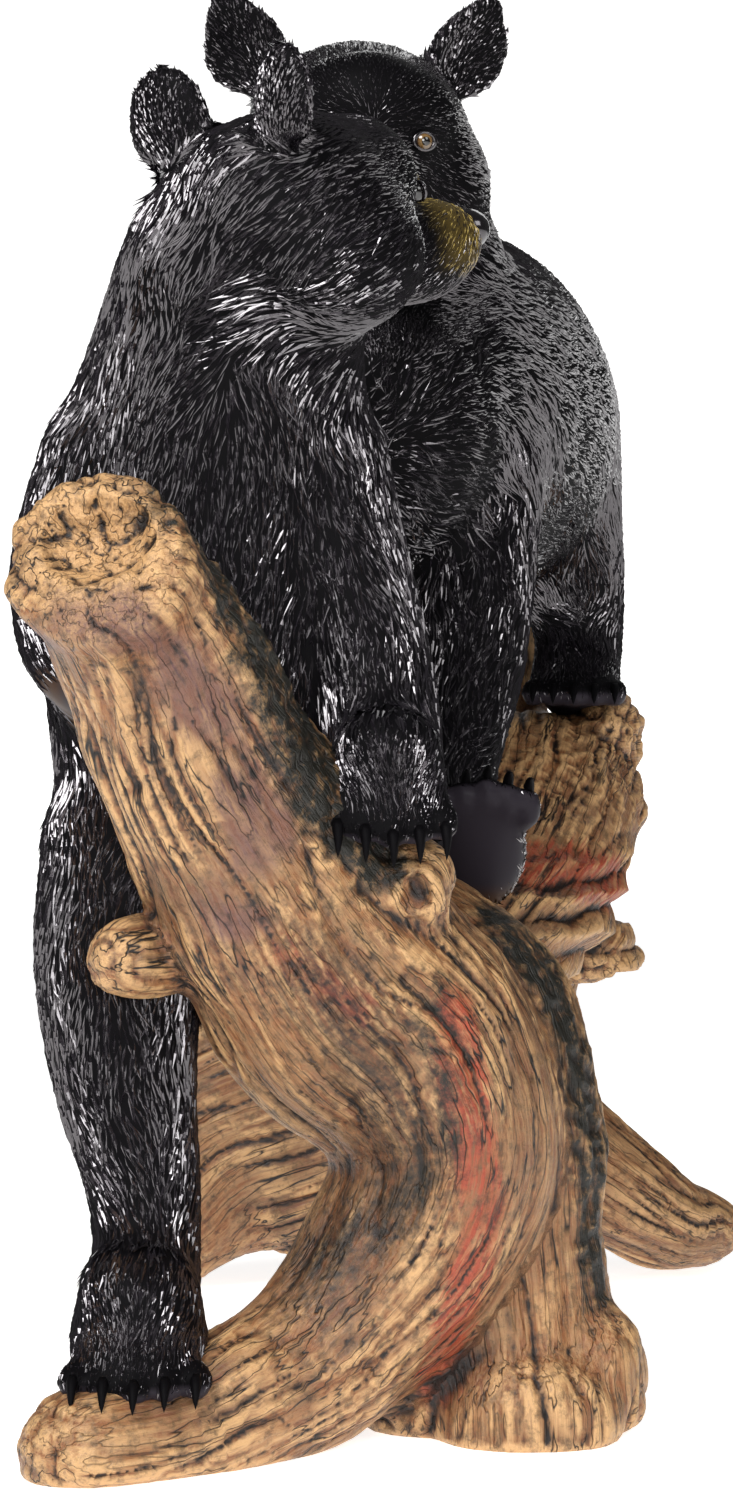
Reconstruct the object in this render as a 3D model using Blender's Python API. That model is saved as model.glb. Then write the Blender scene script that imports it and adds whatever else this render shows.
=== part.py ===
"""Two black bear cubs on a driftwood trunk, a garden statue cast in resin.

The pieces are modelled as clay would be, from rounded limbs and lumps that are
fused into one skin. X runs to the right of the front view, Y away from the
viewer and Z up. All sizes are metres.
"""

import math

import bmesh
import bpy
import numpy as np
from mathutils import Matrix, Vector

# sizes that drive the whole statue
CLAY_CELL = 0.0042
WOOD_FACES = 3100
CUB_FACES = 2650
SEAT_GAP = 0.0004
EYE_RADIUS = 0.0046
EYE_GAP = 0.00025
EAR_RADIUS = 0.0212
SKULL_RADIUS = 0.049
MUZZLE_REACH = 0.112
TOE_RADIUS = 0.0062
LOCK_LENGTH = 0.036
LOCK_WIDTH = 0.0105
LOCK_HEIGHT = 0.0052
FUR_DEPTH = 0.0032
GRAIN_DEPTH = 0.0025
GRAIN_RIDGE = 0.0088
CLAY_MIDDLE = (0.0289, 0.0286, 0.0)

# skull centres, the way each head looks, in degrees from the X axis, and how far back, aside and
# up of it the ears are, in skull radii
CLIMBER_SKULL = (-0.033, -0.146, 0.511)
CLIMBER_LOOK = (45.0, 9.0)
CLIMBER_HEAD_SIZE = 1.04
CLIMBER_EARS = (-0.55, 0.66, 0.70)
STANDER_SKULL = (-0.004, 0.042, 0.574)
STANDER_LOOK = (-84.0, -14.0)
STANDER_HEAD_SIZE = 1.12
STANDER_EARS = (-0.33, 0.89, 0.62)


def spline(rows, steps):
    """points on a smooth curve through rows of numbers"""
    rows = np.array(rows, float)
    ends = np.vstack([2 * rows[0] - rows[1], rows, 2 * rows[-1] - rows[-2]])
    out = []
    for i in range(len(rows) - 1):
        a, b, c, d = ends[i : i + 4]
        for t in np.linspace(0, 1, steps, endpoint=False):
            out.append(
                b + 0.5 * t * (c - a + t * (2 * a - 5 * b + 4 * c - d + t * (3 * (b - c) + d - a)))
            )
    out.append(rows[-1])
    return np.array(out)


def limb(bm, stations, across=(1, 0, 0), sides=16, blunt=1.0):
    """a closed round-ended limb, stations are x, y, z, half width, half depth"""
    rows = [tuple(s) + (s[3],) * (5 - len(s)) for s in stations]
    path = spline(rows, 4)
    centres, radii = path[:, :3], path[:, 3:]
    along = np.gradient(centres, axis=0)
    along /= np.linalg.norm(along, axis=1)[:, None]
    rings = []
    for end in (0, -1):
        cap = []
        for angle in (80, 55, 28):
            out = math.sin(math.radians(angle)) * radii[end].mean() * (-1 if end == 0 else blunt)
            small = math.cos(math.radians(angle))
            cap.append((centres[end] + along[end] * out, along[end], radii[end] * small))
        rings.append(cap)
    body = [(c, t, r) for c, t, r in zip(centres, along, radii)]
    rows = rings[0] + body + rings[1][::-1]
    loops = []
    for centre, tangent, radius in rows:
        side = np.array(across, float)
        side -= tangent * side.dot(tangent)
        side /= np.linalg.norm(side)
        other = np.cross(tangent, side)
        loop = []
        for k in range(sides):
            turn = 2 * math.pi * k / sides
            spot = centre + side * radius[0] * math.cos(turn) + other * radius[1] * math.sin(turn)
            loop.append(bm.verts.new(spot))
        loops.append(loop)
    for low, high in zip(loops, loops[1:]):
        for k in range(sides):
            n = (k + 1) % sides
            bm.faces.new((low[k], low[n], high[n], high[k]))
    bm.faces.new(loops[0][::-1])
    bm.faces.new(loops[-1])


def lump(bm, centre, radii, axes=None):
    """an ellipsoid, its radii along the three axes given or along X, Y and Z"""
    turn = Matrix(axes).transposed().to_4x4() if axes else Matrix.Identity(4)
    place = Matrix.Translation(Vector(centre)) @ turn @ Matrix.Diagonal((*radii, 1))
    bmesh.ops.create_icosphere(bm, subdivisions=3, radius=1, matrix=place)


def look_axes(look):
    """forward, left and up of a head that looks a way"""
    yaw, pitch = (math.radians(a) for a in look)
    forward = Vector((math.cos(yaw) * math.cos(pitch), math.sin(yaw) * math.cos(pitch), math.sin(pitch)))
    left = Vector((-math.sin(yaw), math.cos(yaw), 0))
    return forward, left, forward.cross(left)


def head(bm, skull, look, size, ear_spot, ear_open, ear_lean, ear_tip):
    """skull, cheeks, muzzle, chin, nose and ears of one cub"""
    axes = look_axes(look)

    def add(spot, radii):
        lump(bm, from_skull(skull, look, size, spot), [r * size for r in radii], axes)

    s, m = SKULL_RADIUS, MUZZLE_REACH
    add((0, 0, 0), (s * 1.12, s, s * 0.95))
    add((s * 0.5, 0, s * 0.18), (s * 0.75, s * 0.72, s * 0.6))
    add((s * 0.76, 0, s * 0.42), (s * 0.53, s * 0.57, s * 0.49))
    add((m * 0.68, 0, -s * 0.13), (m * 0.28, s * 0.35, s * 0.30))
    add((m * 0.62, 0, -s * 0.30), (m * 0.37, s * 0.45, s * 0.37))
    add((m * 0.56, 0, -s * 0.53), (m * 0.33, s * 0.36, s * 0.25))
    add((m - s * 0.2, 0, -s * 0.20), (s * 0.2, s * 0.235, s * 0.19))
    f, l, u = axes
    for side in (-1, 1):
        add((0, side * s * 0.57, -s * 0.30), (s * 0.82, s * 0.61, s * 0.66))
        opening = Matrix.Rotation(math.radians(side * ear_open), 3, u) @ f
        stem = Matrix.Rotation(math.radians(-side * ear_lean), 3, f) @ u
        width = stem.cross(opening).normalized()
        opening = width.cross(stem)
        back, aside, up = (s * share for share in ear_spot)
        middle = from_skull(skull, look, size, (back, side * aside, up)) + stem * s * 0.24 * size
        radii = (0.0072, EAR_RADIUS * 0.93, EAR_RADIUS * 1.08)
        ear(bm, middle, [r * size for r in radii], (opening, width, stem), ear_tip)


def ear(bm, middle, radii, axes, tip):
    """a flattened ball with its front pushed in as a cup and its top drawn to a tip"""
    shell = bmesh.ops.create_icosphere(bm, subdivisions=3, radius=1)["verts"]
    for vert in shell:
        front, side, up = vert.co
        front *= 1 - 1.3 * front**2 if front > 0 else 1.1
        side *= 1 - tip * max(up, 0) ** 1.5
        up *= 1 + 0.35 * tip * max(up, 0)
        vert.co = middle + axes[0] * front * radii[0] + axes[1] * side * radii[1] + axes[2] * up * radii[2]


def lock(bm, spots, out, size=1.0):
    """one tapered lock of fur through three spots, flat across the way out of the skin"""
    wide, high = LOCK_WIDTH * size, LOCK_HEIGHT * size
    root, middle, tip = (tuple(spot) for spot in spots)
    across = (Vector(tip) - Vector(root)).cross(Vector(out))
    limb(bm, [(*root, wide * 0.8, high * 0.8), (*middle, wide, high), (*tip, wide * 0.3, high * 0.3)],
         across=across, sides=8)


def on_limb(stations, place, turn, off):
    """a spot on the skin of a limb, some way along it and some angle round it, and the way out there"""
    path = spline([tuple(s) + (s[3],) * (5 - len(s)) for s in stations], 4)
    run = np.r_[0, np.cumsum(np.linalg.norm(np.diff(path[:, :3], axis=0), axis=1))]
    along = np.gradient(path[:, :3], axis=0)
    row = [np.interp(place, run, column) for column in path.T]
    way = np.array([np.interp(place, run, column) for column in along.T])
    way /= np.linalg.norm(way)
    side = np.array([1.0, 0, 0]) - way * way[0]
    side /= np.linalg.norm(side)
    out = side * math.cos(turn) * row[3] + np.cross(way, side) * math.sin(turn) * row[4]
    reach = np.linalg.norm(out)
    return np.array(row[:3]) + out * (1 + off / reach), out / reach


def limb_length(stations):
    """how long the middle line of a limb is"""
    return np.linalg.norm(np.diff(spline([s[:3] for s in stations], 4), axis=0), axis=1).sum()


def thinner(stations, depth):
    """the stations of a limb with its radii less by the depth of what is carved on it"""
    return [(*s[:3], *(r - depth for r in s[3:])) for s in stations]


def shag(bm, stations, down, rows, around, size=1.0):
    """rows of fur locks round a limb that point one way along it, each row half a step on from the last"""
    length = limb_length(stations)
    for i in range(rows):
        for k in range(around):
            turn = 2 * math.pi * (k + 0.5 * (i % 2)) / around
            middle = length * (i + 0.5) / rows
            half = LOCK_LENGTH * size / 2
            spots = [on_limb(stations, middle + down * half * share, turn, off)
                     for share, off in ((-1, -0.0070), (0, -0.0050), (1, -0.0040))]
            lock(bm, [spot for spot, _ in spots], spots[1][1], size)


def grain(bm, stations, ridges, ends=(0.1, 0.9)):
    """raised ridges of wood grain that run along a limb, spread evenly round it"""
    length = limb_length(stations)
    for k in range(ridges):
        turn = 2 * math.pi * (k + 0.3) / ridges
        radius = GRAIN_RIDGE * (0.75 + 0.2 * (k % 3))
        low, high = ends[0] + 0.05 * (k % 2), ends[1] - 0.06 * (k % 3)
        rows = [on_limb(stations, length * (low + (high - low) * i / 8), turn + 0.12 * math.sin(i + k), -0.0055)
                for i in range(9)]
        limb(bm, [(*spot, radius * (0.5 if i in (0, 8) else 1)) for i, (spot, _) in enumerate(rows)], sides=8)


def from_skull(skull, look, size, spot):
    """a place on a head, given as steps forward, left and up from its skull centre"""
    f, l, u = look_axes(look)
    return Vector(skull) + (f * spot[0] + l * spot[1] + u * spot[2]) * size


def eye_spots(skull, look, size):
    """where the two eyes sit on a head"""
    s = SKULL_RADIUS
    return [from_skull(skull, look, size, (s * 1.10, side * s * 0.43, s * 0.17)) for side in (-1, 1)]


def paw(bm, centre, forward, up, width, length, thick=0.013):
    """a flat foot with five toes in a row at its front"""
    f = Vector(forward).normalized()
    l = Vector(up).cross(f).normalized()
    u = f.cross(l)
    c = Vector(centre)
    lump(bm, c, (length / 2, width / 2, thick), (f, l, u))
    for k in range(-2, 3):
        toe = c + f * (length * 0.46 - abs(k) * 0.0028) + l * (k * width * 0.205) - u * thick * 0.25
        lump(bm, toe, (TOE_RADIUS * 1.25, TOE_RADIUS, TOE_RADIUS * 1.1), (f, l, u))


def driftwood(bm):
    # near trunk, from the left root through the bend to the leaning stub
    trunk = [
        (-0.113, -0.226, 0.012, 0.028, 0.027), (-0.070, -0.196, 0.016, 0.031, 0.031),
        (-0.024, -0.163, 0.036, 0.037, 0.038), (0.016, -0.145, 0.074, 0.046, 0.044),
        (0.035, -0.140, 0.118, 0.050), (0.022, -0.143, 0.157, 0.056),
        (-0.010, -0.152, 0.193, 0.060), (-0.038, -0.168, 0.236, 0.054),
        (-0.062, -0.190, 0.280, 0.047), (-0.080, -0.220, 0.324, 0.041),
        (-0.094, -0.250, 0.350, 0.038), (-0.102, -0.277, 0.363, 0.039),
    ]
    limb(bm, thinner(trunk, GRAIN_DEPTH), across=(1, 0.35, 0.2), blunt=0.35)
    grain(bm, trunk, 9, (0.12, 0.88))
    # ridge on the right that carries the mossy edge down to the right foot
    limb(bm, [
        (0.024, -0.085, 0.200, 0.040), (0.048, -0.096, 0.172, 0.046), (0.058, -0.106, 0.130, 0.045),
        (0.060, -0.112, 0.080, 0.044), (0.062, -0.118, 0.020, 0.050, 0.048),
    ])
    lump(bm, (0.034, -0.126, 0.045), (0.052, 0.036, 0.060))
    lump(bm, (0.099, -0.130, 0.026), (0.021, 0.030, 0.029))
    lump(bm, (0.068, -0.148, 0.008), (0.040, 0.034, 0.034))
    # rounded knob on the left, the knob with the knothole and the shelf beside it
    limb(bm, [(-0.075, -0.165, 0.205, 0.016), (-0.100, -0.190, 0.203, 0.0165)])
    lump(bm, (0.018, -0.182, 0.232), (0.019, 0.022, 0.021))
    lump(bm, (0.000, -0.160, 0.236), (0.030, 0.026, 0.016))
    # log that bridges to the far trunk
    log = [
        (0.010, -0.120, 0.180, 0.046), (0.024, -0.045, 0.172, 0.050, 0.034), (0.028, 0.040, 0.180, 0.058, 0.036),
        (0.058, 0.130, 0.212, 0.062, 0.044), (0.080, 0.220, 0.255, 0.066, 0.052), (0.088, 0.300, 0.262, 0.062, 0.050),
    ]
    limb(bm, thinner(log, GRAIN_DEPTH))
    grain(bm, log, 7)
    lump(bm, (0.128, 0.262, 0.296), (0.020, 0.045, 0.028))
    limb(bm, [(0.088, 0.312, 0.290, 0.014), (0.087, 0.318, 0.352, 0.010)])
    # broken ledges under the far end of the log
    lump(bm, (0.092, 0.205, 0.214), (0.040, 0.050, 0.014))
    lump(bm, (0.100, 0.200, 0.186), (0.046, 0.055, 0.020))
    # far trunk and its two spreading roots
    limb(bm, [
        (0.086, 0.285, 0.240, 0.056), (0.062, 0.285, 0.165, 0.052), (0.056, 0.285, 0.100, 0.058),
        (0.052, 0.285, 0.045, 0.066),
    ])
    limb(bm, [
        (0.062, 0.275, 0.105, 0.040, 0.044), (0.118, 0.280, 0.062, 0.036, 0.036),
        (0.163, 0.302, 0.032, 0.030, 0.027), (0.182, 0.318, 0.026, 0.028, 0.024),
    ], across=(0, 1, 0))
    limb(bm, [
        (0.040, 0.285, 0.120, 0.034, 0.066), (-0.020, 0.282, 0.092, 0.030, 0.070),
        (-0.074, 0.278, 0.072, 0.027, 0.070), (-0.106, 0.272, 0.040, 0.024, 0.044),
    ], across=(0, 1, 0))


def climbing_cub(bm):
    torso = [
        (-0.088, -0.128, 0.232, 0.048, 0.050), (-0.074, -0.118, 0.285, 0.064, 0.060),
        (-0.070, -0.112, 0.345, 0.071, 0.064), (-0.068, -0.112, 0.405, 0.069, 0.064),
        (-0.060, -0.122, 0.450, 0.062, 0.058), (-0.054, -0.136, 0.490, 0.054, 0.050),
    ]
    limb(bm, thinner(torso, FUR_DEPTH))
    shag(bm, torso, -1, 6, 9)
    head(bm, CLIMBER_SKULL, CLIMBER_LOOK, CLIMBER_HEAD_SIZE, CLIMBER_EARS, 12, 8, 0.0)
    lump(bm, (-0.058, -0.150, 0.490), (0.046, 0.042, 0.042))
    # right foreleg, bent behind the stub
    leg = [
        (-0.106, -0.125, 0.415, 0.035), (-0.124, -0.132, 0.370, 0.029),
        (-0.122, -0.150, 0.335, 0.026), (-0.108, -0.172, 0.318, 0.022),
    ]
    limb(bm, thinner(leg, FUR_DEPTH))
    shag(bm, leg, 1, 2, 5, 0.8)
    paw(bm, (-0.102, -0.180, 0.312), (0.35, -0.75, -0.35), (0.0, 0.5, 1.0), 0.044, 0.050)
    # left foreleg, straight down to the knob
    leg = [
        (-0.026, -0.122, 0.415, 0.037), (-0.010, -0.134, 0.365, 0.031), (0.004, -0.148, 0.318, 0.027),
        (0.009, -0.170, 0.285, 0.025),
    ]
    limb(bm, thinner(leg, FUR_DEPTH))
    shag(bm, leg, 1, 4, 6, 0.85)
    paw(bm, (0.008, -0.187, 0.276), (0.08, -0.72, -0.60), (0.1, -0.6, 0.75), 0.054, 0.052, 0.015)
    # right hind leg and foot on the left root
    leg = [
        (-0.094, -0.135, 0.250, 0.046), (-0.104, -0.146, 0.200, 0.038), (-0.101, -0.152, 0.150, 0.032),
        (-0.092, -0.160, 0.100, 0.025), (-0.092, -0.168, 0.060, 0.025),
    ]
    limb(bm, thinner(leg, FUR_DEPTH))
    shag(bm, leg, 1, 5, 6, 0.85)
    paw(bm, (-0.093, -0.193, 0.049), (0.02, -1, -0.22), (0, -0.2, 1), 0.060, 0.080, 0.019)
    # left hind leg, set on the back of the trunk
    leg = [
        (-0.066, -0.098, 0.240, 0.042), (-0.044, -0.080, 0.195, 0.034), (-0.018, -0.074, 0.155, 0.026),
        (0.000, -0.074, 0.128, 0.024),
    ]
    limb(bm, thinner(leg, FUR_DEPTH))
    shag(bm, leg, 1, 3, 5, 0.8)
    paw(bm, (0.006, -0.074, 0.116), (0.85, -0.25, -0.45), (0.2, 0.6, 0.5), 0.048, 0.060)


def standing_cub(bm):
    torso = [
        (0.010, 0.040, 0.444, 0.058, 0.070), (0.017, 0.080, 0.456, 0.072, 0.088),
        (0.034, 0.135, 0.462, 0.078, 0.092), (0.049, 0.190, 0.462, 0.080, 0.092),
        (0.060, 0.240, 0.450, 0.076, 0.084), (0.066, 0.282, 0.428, 0.056, 0.060),
    ]
    limb(bm, thinner(torso, FUR_DEPTH))
    shag(bm, torso, 1, 6, 10, 1.1)
    limb(bm, [
        (0.016, 0.100, 0.490, 0.066, 0.064), (0.008, 0.072, 0.528, 0.058, 0.058), (0.002, 0.056, 0.556, 0.052, 0.050),
    ])
    head(bm, STANDER_SKULL, STANDER_LOOK, STANDER_HEAD_SIZE, STANDER_EARS, 30, 24, 0.45)
    # left foreleg with the paw turned up at the near end of the log
    leg = [
        (0.046, 0.075, 0.430, 0.044), (0.050, 0.064, 0.380, 0.034), (0.048, 0.042, 0.330, 0.029),
        (0.038, 0.008, 0.280, 0.025), (0.042, -0.014, 0.248, 0.022),
    ]
    limb(bm, thinner(leg, FUR_DEPTH))
    shag(bm, leg, 1, 5, 6, 0.85)
    paw(bm, (0.051, -0.045, 0.244), (0.06, -0.58, 0.81), (0, 0.81, 0.58), 0.046, 0.072, 0.014)
    # right foreleg
    leg = [
        (-0.020, 0.070, 0.430, 0.040), (-0.029, 0.062, 0.370, 0.030), (-0.024, 0.046, 0.300, 0.025),
        (-0.012, 0.034, 0.236, 0.024),
    ]
    limb(bm, thinner(leg, FUR_DEPTH))
    shag(bm, leg, 1, 4, 6, 0.85)
    paw(bm, (-0.008, 0.012, 0.224), (0.05, -1, -0.05), (0, 0, 1), 0.048, 0.066, 0.015)
    # hind legs
    leg = [
        (0.088, 0.235, 0.430, 0.052), (0.104, 0.245, 0.392, 0.036), (0.114, 0.258, 0.355, 0.026),
        (0.113, 0.262, 0.325, 0.024),
    ]
    limb(bm, thinner(leg, FUR_DEPTH))
    shag(bm, leg, 1, 3, 6, 0.8)
    paw(bm, (0.111, 0.240, 0.326), (-0.08, -1, -0.10), (0, -0.1, 1), 0.052, 0.070, 0.015)
    leg = [
        (0.034, 0.250, 0.425, 0.050), (0.028, 0.266, 0.380, 0.036), (0.030, 0.290, 0.340, 0.026),
        (0.032, 0.294, 0.315, 0.024),
    ]
    limb(bm, thinner(leg, FUR_DEPTH))
    shag(bm, leg, 1, 3, 6, 0.8)
    paw(bm, (0.032, 0.270, 0.314), (0.05, -1, -0.15), (0, -0.1, 1), 0.050, 0.068, 0.015)


def hollows(bm):
    """the rotted end of the stub and the knothole"""
    lump(bm, (-0.107, -0.302, 0.374), (0.027, 0.034, 0.022))
    lump(bm, (0.021, -0.206, 0.231), (0.009, 0.010, 0.009))


def evaluated(obj, name):
    """a plain mesh of what an object's modifiers give"""
    graph = bpy.context.evaluated_depsgraph_get()
    mesh = bpy.data.meshes.new_from_object(obj.evaluated_get(graph))
    mesh.name = name
    bpy.data.objects.remove(obj)
    return mesh


def new_object(name, mesh):
    obj = bpy.data.objects.new(name, mesh)
    bpy.context.scene.collection.objects.link(obj)
    return obj


def raw_object(name, build):
    bm = bmesh.new()
    build(bm)
    bmesh.ops.recalc_face_normals(bm, faces=bm.faces)
    mesh = bpy.data.meshes.new(name)
    bm.to_mesh(mesh)
    bm.free()
    return new_object(name, mesh)


def fused(name, build, rounds):
    """limbs and lumps fused into one smooth skin"""
    obj = raw_object(name, build)
    clay = obj.modifiers.new("clay", "REMESH")
    clay.mode = "VOXEL"
    clay.voxel_size = CLAY_CELL
    soft = obj.modifiers.new("soft", "SMOOTH")
    soft.factor = 0.5
    soft.iterations = rounds
    return new_object(name, evaluated(obj, name))


def cut(obj, tool):
    """take the tool's space out of the object and drop the tool"""
    carve = obj.modifiers.new("carve", "BOOLEAN")
    carve.operation = "DIFFERENCE"
    carve.solver = "EXACT"
    carve.object = tool
    name = obj.name
    mesh = evaluated(obj, name)
    bpy.data.objects.remove(tool)
    return new_object(name, mesh)


def thinned(obj, faces):
    """fewer triangles on the same form"""
    obj.data.calc_loop_triangles()
    thin = obj.modifiers.new("thin", "DECIMATE")
    thin.ratio = faces / len(obj.data.loop_triangles)
    name = obj.name
    return new_object(name, evaluated(obj, name))


def swollen(obj, gap):
    """a copy of an object, larger by a gap all round"""
    mesh = obj.data.copy()
    normals = [v.normal.copy() for v in mesh.vertices]
    for vert, normal in zip(mesh.vertices, normals):
        vert.co += normal * gap
    return new_object("swollen", mesh)


def slab(bottom):
    """a block that reaches down from a height"""
    bm = bmesh.new()
    place = Matrix.Translation((0, 0, bottom - 0.5)) @ Matrix.Diagonal((2, 2, 1, 1))
    bmesh.ops.create_cube(bm, size=1, matrix=place)
    mesh = bpy.data.meshes.new("slab")
    bm.to_mesh(mesh)
    bm.free()
    return new_object("slab", mesh)


def largest_shell(obj):
    """keep the one body and drop crumbs the cuts left"""
    bm = bmesh.new()
    bm.from_mesh(obj.data)
    left = set(bm.verts)
    shells = []
    while left:
        start = left.pop()
        shell, edge = {start}, [start]
        while edge:
            vert = edge.pop()
            for link in vert.link_edges:
                other = link.other_vert(vert)
                if other in left:
                    left.discard(other)
                    shell.add(other)
                    edge.append(other)
        shells.append(shell)
    shells.sort(key=len)
    bmesh.ops.delete(bm, geom=[v for shell in shells[:-1] for v in shell], context="VERTS")
    bmesh.ops.triangulate(bm, faces=bm.faces)
    bm.to_mesh(obj.data)
    bm.free()


def glass_ball(name, spot):
    bm = bmesh.new()
    bmesh.ops.create_icosphere(bm, subdivisions=2, radius=EYE_RADIUS, matrix=Matrix.Translation(spot))
    mesh = bpy.data.meshes.new(name)
    bm.to_mesh(mesh)
    bm.free()
    return new_object(name, mesh)


def paint(obj, name, colour, rough):
    mat = bpy.data.materials.new(name)
    mat.use_nodes = True
    shader = mat.node_tree.nodes["Principled BSDF"]
    shader.inputs["Base Color"].default_value = (*colour, 1)
    shader.inputs["Roughness"].default_value = rough
    obj.data.materials.clear()
    obj.data.materials.append(mat)


for old in list(bpy.data.objects):
    bpy.data.objects.remove(old)

wood = fused("driftwood", driftwood, 3)
wood = cut(wood, raw_object("hollows", hollows))
wood = thinned(wood, WOOD_FACES)
wood = cut(wood, slab(0))
largest_shell(wood)

climber = thinned(fused("cub_climbing", climbing_cub, 3), CUB_FACES)
stander = thinned(fused("cub_standing", standing_cub, 3), CUB_FACES)
climber = cut(climber, swollen(wood, SEAT_GAP))
stander = cut(stander, swollen(wood, SEAT_GAP))
stander = cut(stander, swollen(climber, SEAT_GAP))

pieces = [wood]
for cub, skull, look, size in (
    (climber, CLIMBER_SKULL, CLIMBER_LOOK, CLIMBER_HEAD_SIZE),
    (stander, STANDER_SKULL, STANDER_LOOK, STANDER_HEAD_SIZE),
):
    eyes = []
    for side, spot in zip(("right", "left"), eye_spots(skull, look, size)):
        eye = glass_ball(cub.name.replace("cub", "eye") + "_" + side, spot)
        cub = cut(cub, swollen(eye, EYE_GAP))
        paint(eye, "amber_glass_" + eye.name, (0.35, 0.16, 0.03), 0.05)
        eyes.append(eye)
    largest_shell(cub)
    pieces += [cub] + eyes

paint(pieces[0], "painted_driftwood_resin", (0.56, 0.37, 0.19), 0.5)
paint(pieces[1], "painted_black_resin_climbing", (0.012, 0.011, 0.012), 0.3)
paint(pieces[4], "painted_black_resin_standing", (0.012, 0.011, 0.012), 0.3)

# put the origin under the middle of the statue
for obj in pieces:
    obj.data.transform(Matrix.Translation(-Vector(CLAY_MIDDLE)))
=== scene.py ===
import bpy
import numpy as np
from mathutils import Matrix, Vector


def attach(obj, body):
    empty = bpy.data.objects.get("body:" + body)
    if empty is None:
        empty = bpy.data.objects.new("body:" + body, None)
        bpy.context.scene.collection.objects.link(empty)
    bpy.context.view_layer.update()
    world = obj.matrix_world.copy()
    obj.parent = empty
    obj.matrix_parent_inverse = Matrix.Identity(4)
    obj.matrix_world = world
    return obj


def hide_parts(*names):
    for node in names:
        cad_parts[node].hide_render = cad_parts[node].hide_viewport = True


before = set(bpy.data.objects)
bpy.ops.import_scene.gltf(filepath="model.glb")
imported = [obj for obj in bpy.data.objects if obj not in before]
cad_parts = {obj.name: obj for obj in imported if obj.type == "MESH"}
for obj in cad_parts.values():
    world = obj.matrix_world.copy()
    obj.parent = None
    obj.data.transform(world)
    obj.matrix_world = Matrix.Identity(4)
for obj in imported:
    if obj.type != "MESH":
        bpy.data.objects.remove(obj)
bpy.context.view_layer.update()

# Studio: a white floor and a white backdrop, lit by themselves so that no shadow greys them,
# a dim grey sky, and soft boxes whose reflections draw the gloss on the black paint. The
# camera stands 1.62 m in front of the leaning stub, level, with a portrait lens.
CLAY_MIDDLE = np.array([0.0289, 0.0286, 0.0])
EYE_HEIGHT = 0.2896
CAMERA_BACK = 1.62
FLOOR_REACH = 6.0
BACKDROP_HALF_WIDTH = 1.5
BACKDROP_HEIGHT = 2.6


def linear(hex_colour):
    """sRGB hex to linear red, green, blue and alpha"""
    srgb = np.array([int(hex_colour[i:i + 2], 16) for i in (1, 3, 5)]) / 255
    value = np.where(srgb > 0.04045, ((srgb + 0.055) / 1.055) ** 2.4, srgb / 12.92)
    return (*value, 1.0)


def new_material(name):
    """an empty node material and its Principled shader"""
    material = bpy.data.materials.new(name)
    material.use_nodes = True
    return material, material.node_tree.nodes["Principled BSDF"]


def add_node(material, kind, settings=None, inputs=None, outputs=None):
    """one node with its settings, input values or links, and links from it to other sockets"""
    tree = material.node_tree
    node = tree.nodes.new(kind)
    for key, value in (settings or {}).items():
        setattr(node, key, value)
    for key, value in (inputs or {}).items():
        if isinstance(value, bpy.types.NodeSocket):
            tree.links.new(value, node.inputs[key])
        else:
            node.inputs[key].default_value = value
    for socket, goals in (outputs or {}).items():
        for goal in goals:
            tree.links.new(node.outputs[socket], goal)
    return node


def new_piece(name, verts, faces, material=None, smooth=True):
    """a mesh object at the origin from arrays of points and of faces"""
    mesh = bpy.data.meshes.new(name)
    verts = np.asarray(verts, np.float32)
    sizes = np.concatenate([np.full(len(part), part.shape[1]) for part in faces])
    corners = np.concatenate([part.ravel() for part in faces]).astype(np.int32)
    mesh.vertices.add(len(verts))
    mesh.vertices.foreach_set("co", verts.ravel())
    mesh.loops.add(len(corners))
    mesh.loops.foreach_set("vertex_index", corners)
    mesh.polygons.add(len(sizes))
    mesh.polygons.foreach_set("loop_start", (np.cumsum(sizes) - sizes).astype(np.int32))
    mesh.polygons.foreach_set("use_smooth", np.full(len(sizes), smooth))
    mesh.update(calc_edges=True)
    mesh.validate()
    piece = bpy.data.objects.new(name, mesh)
    bpy.context.scene.collection.objects.link(piece)
    if material:
        mesh.materials.append(material)
    return piece


studio_paint, shader = new_material("matt_white_studio_paint")
shader.inputs["Base Color"].default_value = linear("#f4f3f1")
shader.inputs["Roughness"].default_value = 0.9
shader.inputs["Emission Color"].default_value = linear("#ffffff")
shader.inputs["Emission Strength"].default_value = 0.78
corner = FLOOR_REACH * np.array([[-1, -1, 0], [1, -1, 0], [1, 1, 0], [-1, 1, 0]])
wall = np.array([[1, 0, 0], [-1, 0, 0], [1, 0, 1], [-1, 0, 1]]) * (BACKDROP_HALF_WIDTH, 1, BACKDROP_HEIGHT)
wall = wall + (0, FLOOR_REACH, 0)
new_piece("studio_floor", corner, [np.array([[0, 1, 2, 3]])], studio_paint, False)
new_piece("studio_backdrop", wall, [np.array([[0, 1, 3, 2]])], studio_paint, False)

sky = bpy.data.worlds.new("grey_studio")
bpy.context.scene.world = sky
sky.use_nodes = True
sky.node_tree.nodes["Background"].inputs["Color"].default_value = linear("#ffffff")
sky.node_tree.nodes["Background"].inputs["Strength"].default_value = 0.07

for name, place, width, power in (
    ("key_box", (-1.1, -1.7, 2.3), 1.25, 66),
    ("side_box", (1.5, -1.4, 1.7), 1.0, 11),
    ("front_box", (0.1, -2.2, 0.9), 0.9, 20),
    ("rear_box", (0.6, 1.8, 1.8), 0.9, 3),
):
    light = bpy.data.lights.new(name, "AREA")
    light.size = width
    light.energy = power
    box = bpy.data.objects.new(name, light)
    box.location = place
    aim = Vector((0, 0, 0.35)) - Vector(place)
    box.rotation_euler = aim.to_track_quat("-Z", "Y").to_euler()
    bpy.context.scene.collection.objects.link(box)

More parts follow.
